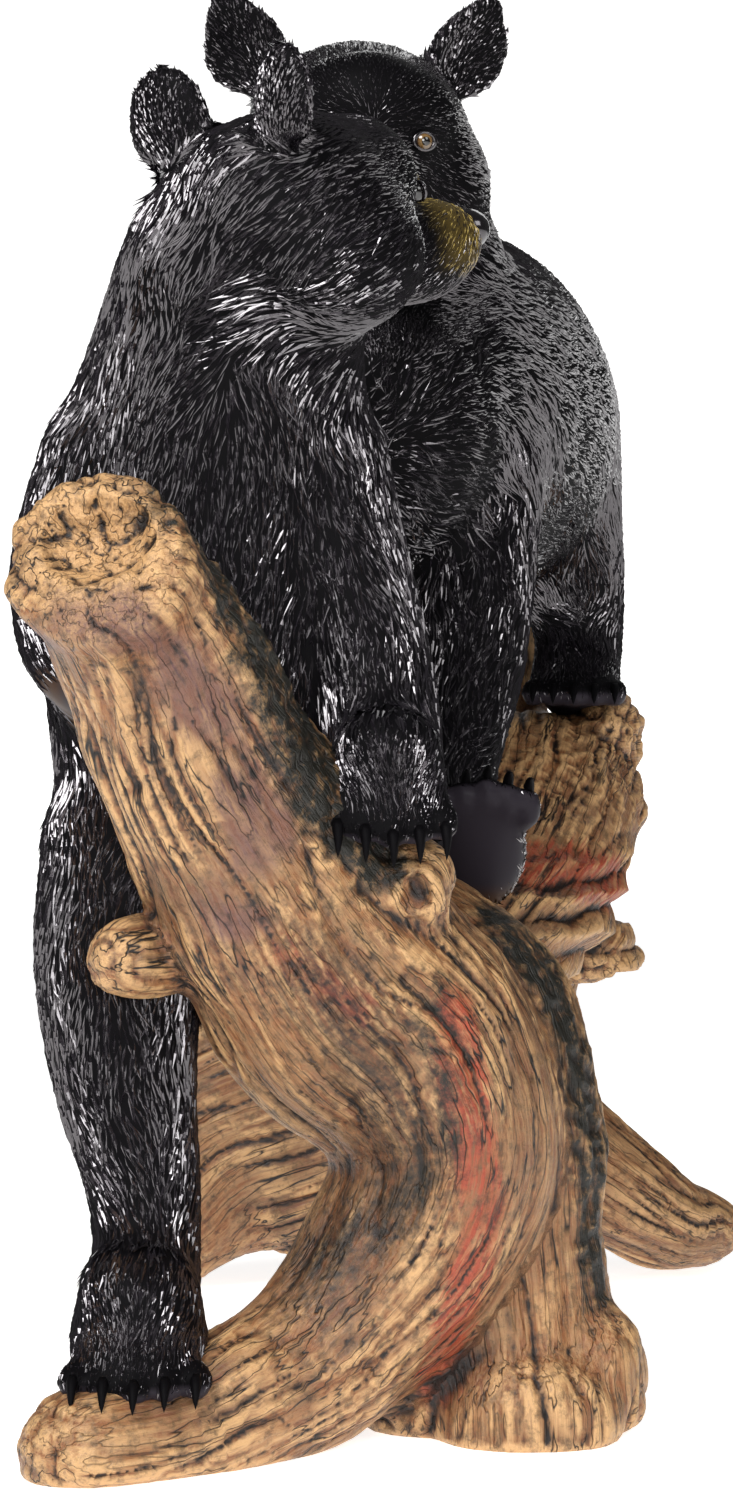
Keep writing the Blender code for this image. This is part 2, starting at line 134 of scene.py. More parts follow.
lens = bpy.data.cameras.new("portrait_lens")
lens.lens = 84
lens.sensor_width = 36
camera = bpy.data.objects.new("camera", lens)
camera.location = np.array([0, -CAMERA_BACK, EYE_HEIGHT]) - CLAY_MIDDLE
camera.rotation_euler = (np.pi / 2, 0, 0)
bpy.context.scene.collection.objects.link(camera)
bpy.context.scene.camera = camera
bpy.context.scene.view_settings.view_transform = "Standard"


# Driftwood: a near trunk that sweeps up from the left root into a leaning hollow stub, and a
# log behind it that bridges to a second trunk on two roots. It is cast resin, carved in clay
# with ridges along its fibre, painted tan, washed brown in its grooves and stained by hand. Its
# colour here also holds painted shade in the grooves and painted highlights on the crests.
COARSE_CELL = 0.0036
GRAIN_CELL = 0.00172
# the palette: tan, a pale painted highlight for the crests, ochre, a brown for streaks, the wash and painted shade,
# and a near-black painted shade for the cuts and deepest grooves
SATIN_TAN = ("#875632", "#cba06e", "#633a1d", "#321a0e", "#110905")
STUB_HOLLOW = (-0.107, -0.302, 0.374)
KNOT_HOLLOW = (0.021, -0.206, 0.231)


def unit(rows):
    """each row divided by its length"""
    return rows / np.maximum(np.linalg.norm(rows, axis=-1, keepdims=True), 1e-12)


def spline(rows, steps):
    """a curve through rows of numbers: cubics that leave each row along the line of its neighbours"""
    rows = np.array(rows, float)
    ends = np.vstack([2 * rows[0] - rows[1], rows, 2 * rows[-1] - rows[-2]])
    a, b, c, d = (ends[i:len(rows) - 1 + i, None] for i in range(4))
    t = np.arange(steps)[None, :, None] / steps
    curve = b + 0.5 * t * (c - a + t * (2 * a - 5 * b + 4 * c - d + t * (3 * (b - c) + d - a)))
    return np.vstack([curve.reshape(-1, rows.shape[1]), rows[-1:]])


def limb_line(stations, across=(1, 0, 0), steps=6):
    """centres, half width and depth, and the ways along, aside and out on a line through x, y, z, w, d"""
    path = spline([tuple(s) + (s[3],) * (5 - len(s)) for s in stations], steps)
    along = unit(np.gradient(path[:, :3], axis=0))
    side = unit(np.array(across, float) - along * (along @ np.array(across, float))[:, None])
    return path[:, :3], path[:, 3:], along, side, np.cross(along, side)


def ring_skin(rings):
    """closed surface over a stack of rings: quads between neighbours and one many-sided cap at each end"""
    count, sides = rings.shape[:2]
    spot = np.arange(count * sides).reshape(count, sides)
    quads = np.stack([spot[:-1], np.roll(spot[:-1], -1, 1), np.roll(spot[1:], -1, 1), spot[1:]], -1)
    return rings.reshape(-1, 3), [quads.reshape(-1, 4), spot[:1, ::-1], spot[-1:]]


def limb(stations, across=(1, 0, 0), sides=28, blunt=1.0):
    """an ellipse carried along a smooth line, its ends rounded by rings that shrink as a cosine"""
    centres, radii, along, side, other = limb_line(stations, across)
    row = np.clip(np.arange(-3, len(side) + 3), 0, len(side) - 1)
    tilt = np.radians(np.r_[-80, -55, -28, np.zeros(len(side)), 28, 55, 80])[:, None]
    push = np.sin(tilt) * radii[row].mean(1)[:, None] * np.where(tilt > 0, blunt, 1)
    centres = (centres[row] + along[row] * push)[:, None]
    radii = (radii[row] * np.cos(tilt))[:, None]
    turn = np.linspace(0, 2 * np.pi, sides, endpoint=False)[:, None]
    return ring_skin(centres + side[row][:, None] * radii[:, :, :1] * np.cos(turn)
                     + other[row][:, None] * radii[:, :, 1:] * np.sin(turn))


def ball(centre, radii, axes=np.eye(3)):
    """an ellipsoid: circles of latitude scaled by three radii along three axes"""
    lat = np.radians(np.linspace(-86, 86, 17))[:, None]
    lon = np.linspace(0, 2 * np.pi, 28, endpoint=False)[None]
    unit_ball = np.stack([np.cos(lat) * np.cos(lon), np.cos(lat) * np.sin(lon),
                          np.sin(lat) * np.ones_like(lon)], -1)
    return ring_skin(np.array(centre) + unit_ball * np.array(radii) @ np.array(axes))


def gathered(parts):
    """several surfaces as one list of points and faces"""
    starts = np.cumsum([0] + [len(verts) for verts, _ in parts])
    return np.vstack([verts for verts, _ in parts]), [
        face + start for (_, faces), start in zip(parts, starts) for face in faces]


def kneaded(name, surface, steps):
    """points and faces of one skin over a surface, after a list of modifiers that leave one kind of face"""
    clay = new_piece(name, *surface)
    for kind, settings in steps:
        step = clay.modifiers.new(kind.lower(), kind)
        for key, value in settings.items():
            setattr(step, key, value)
    graph = bpy.context.evaluated_depsgraph_get()
    mesh = bpy.data.meshes.new_from_object(clay.evaluated_get(graph))
    verts = np.empty(len(mesh.vertices) * 3, np.float32)
    mesh.vertices.foreach_get("co", verts)
    faces = len(mesh.polygons)
    corners = np.empty(len(mesh.loops), np.int32)
    mesh.loops.foreach_get("vertex_index", corners)
    bpy.data.objects.remove(clay)
    bpy.data.meshes.remove(mesh)
    return verts.reshape(-1, 3).astype(float), corners.reshape(faces, -1)


def outward(verts, quads):
    """unit normals at the points: cross products of the quads' diagonals, summed at their corners"""
    face = np.cross(verts[quads[:, 2]] - verts[quads[:, 0]], verts[quads[:, 3]] - verts[quads[:, 1]])
    total = [np.bincount(quads.ravel(), np.repeat(face[:, i], 4), len(verts)) for i in range(3)]
    return unit(np.stack(total, 1))


def hollowness(verts, quads, rounds):
    """how far each point lies below the mean of its neighbours, taken over several rounds"""
    mean = verts
    count = np.bincount(quads.ravel(), minlength=len(verts))[:, None] * 2
    for _ in range(rounds):
        ring = np.vstack([quads[:, [k, (k + 1) % 4]] for k in range(4)])
        ring = np.vstack([ring, ring[:, ::-1]])
        mean = np.stack([np.bincount(ring[:, 0], mean[ring[:, 1], i], len(verts)) for i in range(3)], 1) / count
    return ((mean - verts) * outward(verts, quads)).sum(1)


def speckle(spots, seed):
    """value noise from 0 to 1: random numbers on a unit lattice, eased between its eight corners"""
    table = np.random.default_rng(seed).random((32, 32, 32))
    cell = np.floor(spots).astype(int)
    part = spots - cell
    part = part * part * (3 - 2 * part)
    total = np.zeros(len(spots))
    for corner in np.ndindex(2, 2, 2):
        weight = np.prod(np.where(corner, part, 1 - part), axis=1)
        total += weight * table[tuple(((cell + corner) % 32).T)]
    return total


def ridge(noise):
    """sharp ridges where noise passes its middle: one less twice the distance from a half"""
    return 1 - np.abs(2 * noise - 1)


def furrow(noise):
    """sharp grooves where noise passes its middle, with rounded ridges between them"""
    return np.abs(2 * noise - 1) ** 0.5


def in_grain(spots, line):
    """place along a limb's fibre (run, aside, out) and how many radii off its centre line, ends included"""
    centres, radii, along, side, other = line
    arc = np.r_[0, np.cumsum(np.linalg.norm(np.diff(centres, axis=0), axis=1))]
    near = ((spots[:, None] - centres[None]) ** 2).sum(2).argmin(1)
    step = spots - centres[near]
    over = (step * along[near]).sum(1)
    aside = (step * side[near]).sum(1)
    out = (step * other[near]).sum(1)
    beyond = np.where((near == 0) | (near == len(centres) - 1), over, 0)
    reach = np.sqrt((aside / radii[near, 0]) ** 2 + (out / radii[near, 1]) ** 2
                    + (beyond / radii[near].mean(1)) ** 2)
    return np.stack([arc[near] + over, aside, out], 1), reach, along[near]


def near_line(spots, points, width, depth_share=0.35):
    """1 on a smooth line through the points, falling as the bell of distance over width"""
    flat = np.array([1, depth_share, 1])
    line = spline(points, 8) * flat
    gap = ((spots[:, None] * flat - line[None]) ** 2).sum(2).min(1)
    return np.exp(-gap / width ** 2)


def eased(value, low, high):
    """0 below low, 1 above high, and a smooth step between"""
    t = np.clip((value - low) / (high - low), 0, 1)
    return t * t * (3 - 2 * t)


wood_limbs = [
    ([(-0.113, -0.226, 0.012, 0.028, 0.027), (-0.070, -0.196, 0.016, 0.031, 0.031),
      (-0.024, -0.163, 0.036, 0.037, 0.038), (0.016, -0.145, 0.074, 0.046, 0.044),
      (0.035, -0.140, 0.118, 0.050), (0.022, -0.143, 0.157, 0.056),
      (-0.010, -0.152, 0.193, 0.060), (-0.038, -0.168, 0.236, 0.054),
      (-0.062, -0.190, 0.280, 0.047), (-0.080, -0.220, 0.324, 0.041),
      (-0.094, -0.250, 0.350, 0.038), (-0.102, -0.277, 0.363, 0.039)], (1, 0.35, 0.2), 0.35),
    ([(0.024, -0.085, 0.200, 0.040), (0.048, -0.096, 0.172, 0.046), (0.058, -0.106, 0.130, 0.045),
      (0.060, -0.112, 0.080, 0.044), (0.062, -0.118, 0.020, 0.050, 0.048)], (1, 0, 0), 1),
    ([(-0.075, -0.165, 0.205, 0.016), (-0.100, -0.190, 0.203, 0.0165)], (1, 0, 0), 1),
    ([(0.010, -0.120, 0.180, 0.046), (0.024, -0.045, 0.172, 0.050, 0.034),
      (0.028, 0.040, 0.180, 0.058, 0.036), (0.058, 0.130, 0.212, 0.062, 0.044),
      (0.080, 0.220, 0.255, 0.066, 0.052), (0.088, 0.300, 0.262, 0.062, 0.050)], (1, 0, 0), 1),
    ([(0.088, 0.312, 0.290, 0.014), (0.087, 0.318, 0.352, 0.010)], (1, 0, 0), 1),
    ([(0.086, 0.285, 0.240, 0.056), (0.062, 0.285, 0.165, 0.052), (0.056, 0.285, 0.100, 0.058),
      (0.052, 0.285, 0.045, 0.066)], (1, 0, 0), 1),
    ([(0.062, 0.275, 0.105, 0.040, 0.044), (0.118, 0.280, 0.062, 0.036, 0.036),
      (0.163, 0.302, 0.032, 0.030, 0.027), (0.182, 0.318, 0.026, 0.028, 0.024)], (0, 1, 0), 1),
    ([(0.040, 0.285, 0.120, 0.034, 0.066), (-0.020, 0.282, 0.092, 0.030, 0.070),
      (-0.074, 0.278, 0.072, 0.027, 0.070), (-0.106, 0.272, 0.040, 0.024, 0.044)], (0, 1, 0), 1),
]
wood_lumps = [
    ((0.034, -0.126, 0.045), (0.052, 0.036, 0.060)), ((0.099, -0.130, 0.026), (0.021, 0.030, 0.029)),
    ((0.068, -0.148, 0.008), (0.040, 0.034, 0.034)), ((0.018, -0.182, 0.232), (0.019, 0.022, 0.021)),
    ((0.000, -0.160, 0.236), (0.030, 0.026, 0.016)), ((0.128, 0.262, 0.296), (0.020, 0.045, 0.028)),
    ((0.092, 0.205, 0.214), (0.040, 0.050, 0.014)), ((0.100, 0.200, 0.186), (0.046, 0.055, 0.020)),
]
hollows = new_piece("hollows", *gathered([
    ball(STUB_HOLLOW, (0.027, 0.034, 0.022)), ball(KNOT_HOLLOW, (0.009, 0.010, 0.009))]))
verts, quads = kneaded(
    "driftwood_clay",
    gathered([limb(stations, across, blunt=blunt) for stations, across, blunt in wood_limbs]
             + [ball(centre, radii) for centre, radii in wood_lumps]),
    [("REMESH", {"mode": "VOXEL", "voxel_size": COARSE_CELL}),
     ("SMOOTH", {"factor": 0.5, "iterations": 3}),
     ("BOOLEAN", {"operation": "DIFFERENCE", "solver": "EXACT", "object": hollows}),
     ("TRIANGULATE", {})])
bpy.data.objects.remove(hollows)
verts[:, 2] = np.maximum(verts[:, 2], 0)
verts, quads = kneaded(
    "driftwood_clay", (verts, [quads]),
    [("REMESH", {"mode": "VOXEL", "voxel_size": GRAIN_CELL}), ("SMOOTH", {"factor": 0.5, "iterations": 3})])

# the carving: rounded ridges with sharp grooves between them, which follow each limb, in millimetres
normals = outward(verts, quads)
acrosses = [(0, 1, 0)] + [across for _, across, _ in wood_limbs[1:]]
lines = [in_grain(verts, limb_line(stations, across)) for (stations, _, _), across in zip(wood_limbs, acrosses)]
reach = np.array([line[1] for line in lines])
shares = np.exp(-9 * (reach - reach.min(axis=0)))
shares /= shares.sum(axis=0)
carved, streak = np.zeros((2, len(verts)))
fibre = np.array([line[0] for line in lines])[reach.argmin(axis=0), np.arange(len(verts))]
rough = eased(speckle(verts / 0.038, 15), 0.25, 0.75)
wander = speckle(verts / 0.035, 3)[:, None] - 0.5
for number, ((grain_shade_and_highlight, _, _), share) in enumerate(zip(lines, shares)):
    here = share > 0.02
    share = share[here]
    grain_shade_and_highlight = grain_shade_and_highlight[here] + 0.010 * wander[here] * (0, 1, 1) + 0.37 * number
    broad = furrow(speckle(grain_shade_and_highlight / (0.190, 0.026, 0.026), 11))
    middle = furrow(speckle(grain_shade_and_highlight / (0.140, 0.0110, 0.0110), 12))
    fine = furrow(speckle(grain_shade_and_highlight / (0.085, 0.0052, 0.0052), 13))
    carved[here] += share * (3.4 * broad + (0.5 + rough[here]) * 2.9 * middle + (0.4 + rough[here]) * 1.9 * fine)
    streak[here] += share * speckle(grain_shade_and_highlight / (0.045, 0.0030, 0.0030), 14)

front = eased(-normals[:, 1], 0.0, 0.4)
moss = np.maximum.reduce([
    near_line(verts, [(-0.0730, -0.250, 0.3860), (-0.0590, -0.235, 0.3620), (-0.0430, -0.215, 0.3260),
                      (-0.0270, -0.200, 0.2900), (-0.0190, -0.190, 0.2720), (0.0030, -0.190, 0.2460)], 0.019),
    near_line(verts, [(0.0560, -0.120, 0.2200), (0.0745, -0.120, 0.1970), (0.0890, -0.120, 0.1640),
                      (0.0940, -0.120, 0.1353), (0.0950, -0.120, 0.0967), (0.0955, -0.120, 0.0582)], 0.013)])
bark = np.maximum(moss, near_line(verts, [(0.104, 0.20, 0.27), (0.140, 0.26, 0.29)], 0.030))
scale = ridge(speckle(verts / 0.0075, 21))
carved += bark * (3.2 * scale + 1.4 * speckle(verts / 0.0034, 22) - 3.5)
ledge = near_line(verts, [(0.070, 0.11, 0.205), (0.110, 0.13, 0.203), (0.130, 0.16, 0.195)], 0.034)
layer = (verts[:, 2] + 0.010 * speckle(verts / 0.03, 23)) / 0.0185
carved += ledge * 9.0 * (np.abs(layer % 1 * 2 - 1) - 0.5)
rot = eased(0.046 - np.linalg.norm((verts - STUB_HOLLOW) * (1, 0.8, 1), axis=1), 0, 0.022)
carved += rot * (2.6 * ridge(speckle(verts / (0.011, 0.02, 0.010), 24)) - 2.0)
for spot, size in (((0.0068, -0.165, 0.1227), 4.0), ((0.0678, -0.15, 0.0981), 5.0),
                   ((0.0474, -0.16, 0.0949), 4.2), ((0.0418, -0.165, 0.0564), 3.8)):
    gap = np.linalg.norm((verts - spot) * (1, 0.5, 1), axis=1) * 1000
    carved += front * 4.2 * np.exp(-(gap / size) ** 2)
red_patch = near_line(verts, [(-0.031, -0.20, 0.210), (-0.018, -0.20, 0.194), (-0.003, -0.20, 0.184)], 0.013)
comb = np.abs(((verts[:, 0] * 0.88 + verts[:, 2] * 0.47) / 0.0042) % 1 * 2 - 1)
carved += red_patch * front * 1.8 * (comb - 0.5)
knob = eased(0.030 - np.linalg.norm(verts - (0.020, -0.185, 0.232), axis=1), 0, 0.012)
carved += knob * 3.5 * (speckle(verts / 0.010, 25) - 0.5)
crack = near_line(verts, [(-0.0945, -0.225, 0.298), (-0.0905, -0.225, 0.276)], 0.0035)
carved -= 6 * crack

height = carved - 5.0
height *= eased(verts[:, 2], -0.001, 0.006)
verts = verts + normals * height[:, None] / 1000
verts[:, 2] = np.maximum(verts[:, 2], 0)

# the painting: a brown wash in the hollows, deepened there and down the inside of the bend with painted shade, painted
# highlights on the crests, and stains brushed along strokes
deep = hollowness(verts, quads, 5) * 1000
patchy = speckle(verts / 0.022, 33)
# painted shade down the inside of the bend, laid on with the brown wash
brown_and_bend_shade = near_line(verts, [(-0.020, -0.19, 0.200), (0.000, -0.19, 0.165), (0.010, -0.19, 0.130),
                          (0.000, -0.19, 0.100), (-0.020, -0.19, 0.080)], 0.026)
# the brown wash in the hollows, deepened with painted shade
wash_and_hollow_shade = np.maximum(eased(deep + 0.6 * (patchy - 0.5), 0.10, 0.75), 0.6 * brown_and_bend_shade)
# a painted highlight on the crests, and the pale rim round the stub's rotted hollow
crest_highlight_and_pale_rim = np.maximum(eased(-deep + 0.5 * (streak - 0.5), 0.05, 0.5), 0.8 * rot)
red = np.maximum.reduce([
    near_line(verts, [(0.0341, -0.19, 0.1834), (0.0402, -0.19, 0.1466), (0.0464, -0.17, 0.1139),
                      (0.0443, -0.17, 0.0853), (0.0361, -0.17, 0.0526), (0.0300, -0.17, 0.024)], 0.014),
    0.9 * red_patch, near_line(verts, [(0.076, 0.10, 0.231), (0.098, 0.11, 0.229), (0.122, 0.14, 0.222)], 0.020)])
red = eased(red * (0.6 + 0.8 * streak), 0.15, 0.90)
green = near_line(verts, [(0.0259, -0.19, 0.1915), (0.0300, -0.19, 0.1466), (0.0219, -0.18, 0.1139),
                          (0.0014, -0.18, 0.0894), (-0.0272, -0.18, 0.0730)], 0.013)
green = np.maximum(eased(moss * (0.5 + streak), 0.35, 0.85), 0.7 * eased(green * streak, 0.15, 0.6))
mauve = near_line(verts, [(-0.1165, -0.29, 0.339), (-0.0835, -0.27, 0.332), (-0.0652, -0.25, 0.3092),
                          (-0.0426, -0.22, 0.2616), (-0.0513, -0.20, 0.2287)], 0.019)
mauve = eased(mauve * (0.4 + 1.2 * speckle(verts / 0.018, 31)), 0.25, 0.9)

# The paint has satin varnish over it; the light on the ridges and the dark in the grooves are painted into its colour.
driftwood_paint, shader = new_material("satin_painted_cast_resin")


def mesh_values(piece, name, *channels):
    """up to three numbers at each point, kept on the mesh as a colour that a material can read"""
    rows = np.ones((len(channels[0]), 4), np.float32)
    rows[:, :len(channels)] = np.stack(channels, 1)
    piece.data.attributes.new(name, "FLOAT_COLOR", "POINT").data.foreach_set("color", rows.ravel())


def thinned(piece, triangles):
    """fewer triangles where the surface is plain, kept where it is carved"""
    piece.data.calc_loop_triangles()
    thin = piece.modifiers.new("thin", "DECIMATE")
    thin.ratio = triangles / len(piece.data.loop_triangles)
    graph = bpy.context.evaluated_depsgraph_get()
    mesh = bpy.data.meshes.new_from_object(piece.evaluated_get(graph))
    piece.modifiers.clear()
    piece.data = mesh
    return piece


driftwood = new_piece("carved_driftwood", verts - CLAY_MIDDLE, [quads], driftwood_paint)
mesh_values(driftwood, "stain", red, green, mauve)
# the wash with painted shade, the painted highlight on the crests, and a broad tone
mesh_values(driftwood, "grain_shade_and_highlight", wash_and_hollow_shade, crest_highlight_and_pale_rim, speckle(verts / 0.045, 32))
mesh_values(driftwood, "fibre", *fibre.T)
driftwood = thinned(driftwood, 192000)

stain = add_node(driftwood_paint, "ShaderNodeAttribute", {"attribute_name": "stain"})
stain = add_node(driftwood_paint, "ShaderNodeSeparateColor", {}, {0: stain.outputs["Color"]})
# read back: the wash with painted shade, the painted highlight and the broad tone
grain_shade_and_highlight = add_node(driftwood_paint, "ShaderNodeAttribute", {"attribute_name": "grain_shade_and_highlight"})
grain_shade_and_highlight = add_node(driftwood_paint, "ShaderNodeSeparateColor", {}, {0: grain_shade_and_highlight.outputs["Color"]})
place = add_node(driftwood_paint, "ShaderNodeTexCoord")
fibre = add_node(driftwood_paint, "ShaderNodeAttribute", {"attribute_name": "fibre"})


# noises whose patches are so many millimetres along each axis of the fibre or of the part
along, part = fibre.outputs["Color"], place.outputs["Object"]
noises = []
for vector, patch, detail, share in (
    (along, (80, 1.7, 1.7), 4, 0.6), (along, (150, 8, 8), 4, 0.6), (along, (140, 6.5, 6.5), 2, 0.5),
    (part, (5, 5, 5), 6, 0.7), (part, (42, 42, 42), 3, 0.5), (part, (1.9, 1.9, 1.9), 4, 0.6),
):
    scaled = add_node(driftwood_paint, "ShaderNodeMapping", {}, {
        "Vector": vector, "Scale": [1000 / size for size in patch]})
    cloud = add_node(driftwood_paint, "ShaderNodeTexNoise", {}, {
        "Vector": scaled.outputs[0], "Scale": 1, "Detail": detail, "Roughness": share})
    noises.append(add_node(driftwood_paint, "ShaderNodeMapRange", {}, {
        "Value": cloud.outputs[0], "From Min": 0.32, "From Max": 0.68}).outputs[0])
strokes, ribbons, splits, mottle, clouds, tooth = noises
tan, highlight_tan, ochre, brown_and_bend_shade, groove_shade = SATIN_TAN
paint = linear(tan)
near_zero = add_node(driftwood_paint, "ShaderNodeMath", {"operation": "SUBTRACT"}, {
    0: splits, 1: 0.5})
near_zero = add_node(driftwood_paint, "ShaderNodeMath", {"operation": "ABSOLUTE"}, {0: near_zero.outputs[0]})
cuts = add_node(driftwood_paint, "ShaderNodeMapRange", {}, {
    "Value": near_zero.outputs[0], "From Min": 0.07, "From Max": 0.0}).outputs[0]
# the layers in order: broad tones, ochre, lighter ribbons, a painted highlight on the crests, brown streaks, the mauve
# and red stains, the brown wash with painted shade in the hollows, painted shade in the cuts, dark green, and
# near-black painted shade in the deepest grooves
for factor, broken_by, low, high, colour in (
    (clouds, ribbons, 0.75, 1.7, "#704a3a"),
    (grain_shade_and_highlight.outputs[2], mottle, 0.70, 1.5, ochre),
    (ribbons, mottle, 0.85, 1.6, "#a8825a"),
    (grain_shade_and_highlight.outputs[1], strokes, 0.25, 1.20, highlight_tan),
    (strokes, clouds, 1.10, 2.2, brown_and_bend_shade),
    (stain.outputs[2], strokes, 0.50, 1.8, "#654543"),
    (stain.outputs[0], strokes, 0.90, 1.5, "#9c4329"),
    (grain_shade_and_highlight.outputs[0], mottle, 0.35, 1.4, brown_and_bend_shade),
    (cuts, clouds, 0.70, 1.5, groove_shade),
    (stain.outputs[1], mottle, 0.45, 1.35, "#16140c"),
    (grain_shade_and_highlight.outputs[0], strokes, 0.80, 1.5, groove_shade),
):
    broken = add_node(driftwood_paint, "ShaderNodeMath", {"operation": "MULTIPLY_ADD"}, {
        0: broken_by, 1: 0.8, 2: factor}).outputs[0]
    amount = add_node(driftwood_paint, "ShaderNodeMapRange", {}, {
        "Value": broken, "From Min": low, "From Max": high})
    paint = add_node(driftwood_paint, "ShaderNodeMix", {"data_type": "RGBA"}, {
        0: amount.outputs[0], 6: paint, 7: linear(colour)}).outputs[2]
driftwood_paint.node_tree.links.new(paint, shader.inputs["Base Color"])
add_node(driftwood_paint, "ShaderNodeMapRange", {}, {
    "Value": tooth, "To Min": 0.36, "To Max": 0.6}, {0: [shader.inputs["Roughness"]]})
relief = add_node(driftwood_paint, "ShaderNodeBump", {}, {
    "Height": strokes, "Strength": 0.6, "Distance": 0.0007})
relief = add_node(driftwood_paint, "ShaderNodeBump", {"invert": True}, {
    "Height": cuts, "Strength": 0.7, "Distance": 0.0008, "Normal": relief.outputs[0]})
add_node(driftwood_paint, "ShaderNodeBump", {}, {
    "Height": tooth, "Strength": 0.4, "Distance": 0.0004, "Normal": relief.outputs[0]}, {0: [shader.inputs["Normal"]]})
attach(driftwood, "root")
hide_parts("driftwood")

# Two black bear cubs: one climbs the stub and looks away to the right, the other stands on
# the log and looks at the viewer. Each is one hollow resin casting, so its skin here is one
# body fused from its limbs, head, ears and paws, and the fur is carved over it.
SKIN_CELL = 0.0028
SKULL_RADIUS = 0.049
MUZZLE_REACH = 0.112
EAR_RADIUS = 0.0212
TOE_RADIUS = 0.0062
EYE_RADIUS = 0.0046
CLAW_LENGTH = 0.0130
CLAW_WIDTH = 0.0050


def look_axes(look):
    """rows for forward, left and up of a head turned and tilted by two angles in degrees"""
    yaw, pitch = np.radians(look)
    forward = np.array([np.cos(yaw) * np.cos(pitch), np.sin(yaw) * np.cos(pitch), np.sin(pitch)])
    left = np.array([-np.sin(yaw), np.cos(yaw), 0])
    return np.array([forward, left, np.cross(forward, left)])


def turned(ways, axis, degrees):
    """vectors turned about an axis by an angle, the usual sum of three parts"""
    c, s = np.cos(np.radians(degrees)), np.sin(np.radians(degrees))
    return ways * c + np.cross(axis, ways) * s + axis * (ways @ axis)[..., None] * (1 - c)


def ear(middle, width, stem, opening, radii, tip):
    """a flattened ball, its front pushed in as a cup and its top drawn to a tip"""
    verts, faces = ball((0, 0, 0), (1, 1, 1))
    front, side, up = verts[:, 0], verts[:, 1], verts[:, 2]
    dent = np.where(front > 0, 1 - 1.45 * front ** 2, 1.15)
    side = side * (1 - tip * np.clip(up, 0, 1) ** 1.5)
    up = up * (1 + 0.35 * tip * np.clip(up, 0, 1))
    shape = np.stack([front * dent, side, up], 1) * radii
    return middle + shape @ np.array([opening, width, stem]), faces


def on_head(cub, spot):
    """a place on a head, from steps forward, left and up of its skull centre"""
    return cub["skull"] + cub["size"] * np.array(spot, float) @ look_axes(cub["look"])


def ear_place(cub, side):
    """the way an ear opens, its width and stem, and its middle"""
    forward, _, up = look_axes(cub["look"])
    opening = turned(forward, up, side * cub["ear_open"])
    stem = turned(up, forward, -side * cub["ear_lean"])
    width = unit(np.cross(stem, opening))
    back, aside, rise = SKULL_RADIUS * np.array(cub["ears"])
    middle = on_head(cub, (back, side * aside, rise)) + stem * SKULL_RADIUS * 0.24 * cub["size"]
    return np.cross(width, stem), width, stem, middle


def head(cub):
    """skull, brow, muzzle, chin, cheeks and ears, placed by steps forward, left and up"""
    axes, size = look_axes(cub["look"]), cub["size"]
    s, m = SKULL_RADIUS, MUZZLE_REACH
    balls = [((0, 0, 0), (s * 1.12, s, s * 0.95)), ((s * 0.5, 0, s * 0.18), (s * 0.75, s * 0.72, s * 0.6)),
             ((s * 0.76, 0, s * 0.42), (s * 0.53, s * 0.57, s * 0.49)),
             ((s * 0.60, 0, s * 0.34), (s * 0.62, s * 0.80, s * 0.53)),
             ((m * 0.68, 0, -s * 0.13), (m * 0.28, s * 0.35, s * 0.30)),
             ((m * 0.62, 0, -s * 0.30), (m * 0.37, s * 0.45, s * 0.37)),
             ((m * 0.56, 0, -s * 0.53), (m * 0.33, s * 0.36, s * 0.25)),
             ((m - s * 0.2, 0, -s * 0.20), (s * 0.2, s * 0.235, s * 0.19))]
    balls += [((0, side * s * 0.57, -s * 0.30), (s * 0.82, s * 0.61, s * 0.66)) for side in (-1, 1)]
    parts = [ball(on_head(cub, spot), size * np.array(radii), axes) for spot, radii in balls]
    for side in (-1, 1):
        opening, width, stem, middle = ear_place(cub, side)
        radii = size * np.array([0.0072, EAR_RADIUS * 0.93, EAR_RADIUS * 1.08])
        parts.append(ear(middle, width, stem, opening, radii, cub["ear_tip"]))
    return parts


def paw_axes(forward, up):
    """rows for forward, left and up of a paw"""
    forward = unit(np.array(forward, float))
    left = unit(np.cross(up, forward))
    return np.array([forward, left, np.cross(forward, left)])


def toe_spots(centre, forward, up, width, length, thick):
    """middles of the five toes, set on a shallow arc across the front of the paw"""
    k = np.arange(-2, 3)
    steps = np.stack([length * 0.46 - np.abs(k) * 0.0028, k * width * 0.205, -thick * 0.25 + 0 * k], 1)
    return np.array(centre) + steps @ paw_axes(forward, up)


def paw(centre, forward, up, width, length, thick=0.013):
    """a flat oval foot with five toes at its front"""
    axes = paw_axes(forward, up)
    toe = np.array([1.7, 1.05, 1.2]) * TOE_RADIUS
    instep = np.array(centre) - axes[0] * length * 0.10 + axes[2] * thick * 0.8
    return [ball(centre, (length / 2, width / 2, thick), axes),
            ball(instep, (length * 0.40, width * 0.43, thick * 1.35), axes)] + [
        ball(spot, toe, axes) for spot in toe_spots(centre, forward, up, width, length, thick)]


